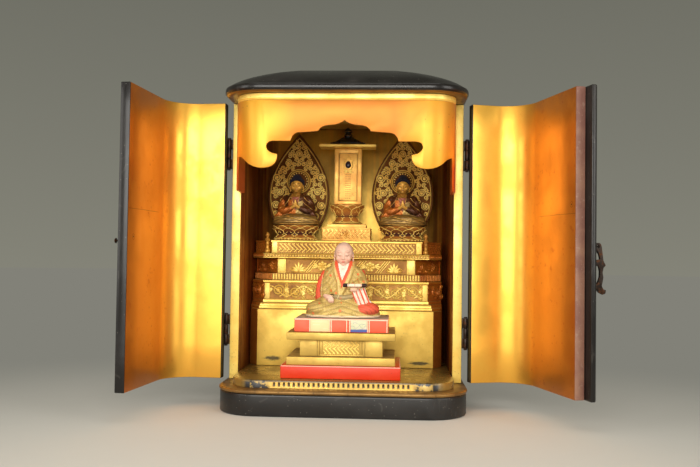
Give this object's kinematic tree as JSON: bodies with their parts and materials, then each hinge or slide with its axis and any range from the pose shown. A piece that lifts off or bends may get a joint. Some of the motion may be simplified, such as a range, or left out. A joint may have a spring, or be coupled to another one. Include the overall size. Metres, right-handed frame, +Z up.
{
  "type": "household altar cabinet",
  "caption": "Lacquered household altar cabinet with hinged bow-cornered doors open on a tiered gilded altar, seated figures with mandorlas, a memorial tablet and a monk on a stand.",
  "frame": {"origin": "centre of the plinth's underside", "axes": "+Z up, the opening and the closed doors face -Y, +X to the viewer's right"},
  "size_m": [0.4638, 0.267, 0.3611],
  "materials": {
    "black_lacquer": "gloss black lacquer with fine wear",
    "door_lacquer": "gilding on lacquer inside, gloss black outside",
    "gilding": "gold leaf on carved wood",
    "aged_gilding": "rubbed gold on dark lacquered carving",
    "worn_gilding": "worn gold over black lacquer",
    "red_lacquer": "satin vermilion lacquer",
    "seat_paint": "painted panels of red and cream",
    "robe_paint": "painted and gilded brocade on carved wood",
    "scroll_paint": "matt pale paint",
    "iron_fittings": "dark patinated metal"
  },
  "bodies": {
    "cabinet": {"plinth": "black_lacquer", "base_moulding": "worn_gilding", "floor_board": "worn_gilding", "case_shell": "black_lacquer", "ceiling_board": "gilding", "roof": "black_lacquer", "curtain_board": "gilding", "left_lower_hinge_wall_leaf": "iron_fittings", "left_lower_hinge_pin": "iron_fittings", "left_upper_hinge_wall_leaf": "iron_fittings", "left_upper_hinge_pin": "iron_fittings", "right_lower_hinge_wall_leaf": "iron_fittings", "right_lower_hinge_pin": "iron_fittings", "right_upper_hinge_wall_leaf": "iron_fittings", "right_upper_hinge_pin": "iron_fittings", "altar_lower_box": "gilding", "altar_step": "gilding", "altar_scroll_tier": "gilding", "altar_flute_band": "gilding", "altar_waist": "gilding", "altar_beaded_slab": "gilding", "altar_fret_tier": "gilding", "left_newel_post": "gilding", "right_newel_post": "gilding", "left_buddha": "aged_gilding", "left_lotus_seat": "aged_gilding", "left_mandorla": "aged_gilding", "right_buddha": "aged_gilding", "right_lotus_seat": "aged_gilding", "right_mandorla": "aged_gilding", "tablet_base": "gilding", "tablet_lotus": "gilding", "tablet_body": "gilding", "tablet_canopy": "gilding", "tablet_roof": "black_lacquer", "stand_base_board": "red_lacquer", "stand_foot_board": "gilding", "stand_waist": "gilding", "stand_top_board": "gilding", "monk_seat": "seat_paint", "monk": "robe_paint", "monk_scroll": "scroll_paint"},
    "left_door": {"left_door": "door_lacquer", "left_lower_hinge_door_leaf": "iron_fittings", "left_upper_hinge_door_leaf": "iron_fittings", "latch_stud": "iron_fittings"},
    "right_door": {"right_door": "door_lacquer", "right_lower_hinge_door_leaf": "iron_fittings", "right_upper_hinge_door_leaf": "iron_fittings", "astragal": "black_lacquer", "latch_staple": "iron_fittings"},
    "hasp": {"latch_hasp": "iron_fittings"}
  },
  "joints": [
    {"name": "left_door_hinge", "type": "hinge", "parent": "cabinet", "child": "left_door", "pos_m": [-0.128, -0.037, 0.1735], "axis": [0, 0, 1], "range_deg": [-74.5, 95.5]},
    {"name": "right_door_hinge", "type": "hinge", "parent": "cabinet", "child": "right_door", "pos_m": [0.128, -0.037, 0.1735], "axis": [0, 0, 1], "range_deg": [-106, 64]},
    {"name": "hasp_swing", "type": "hinge", "parent": "right_door", "child": "hasp", "pos_m": [0.23997, -0.14013, 0.171], "axis": [0.2756, -0.9613, 0], "range_deg": [0, 100]}
  ]
}
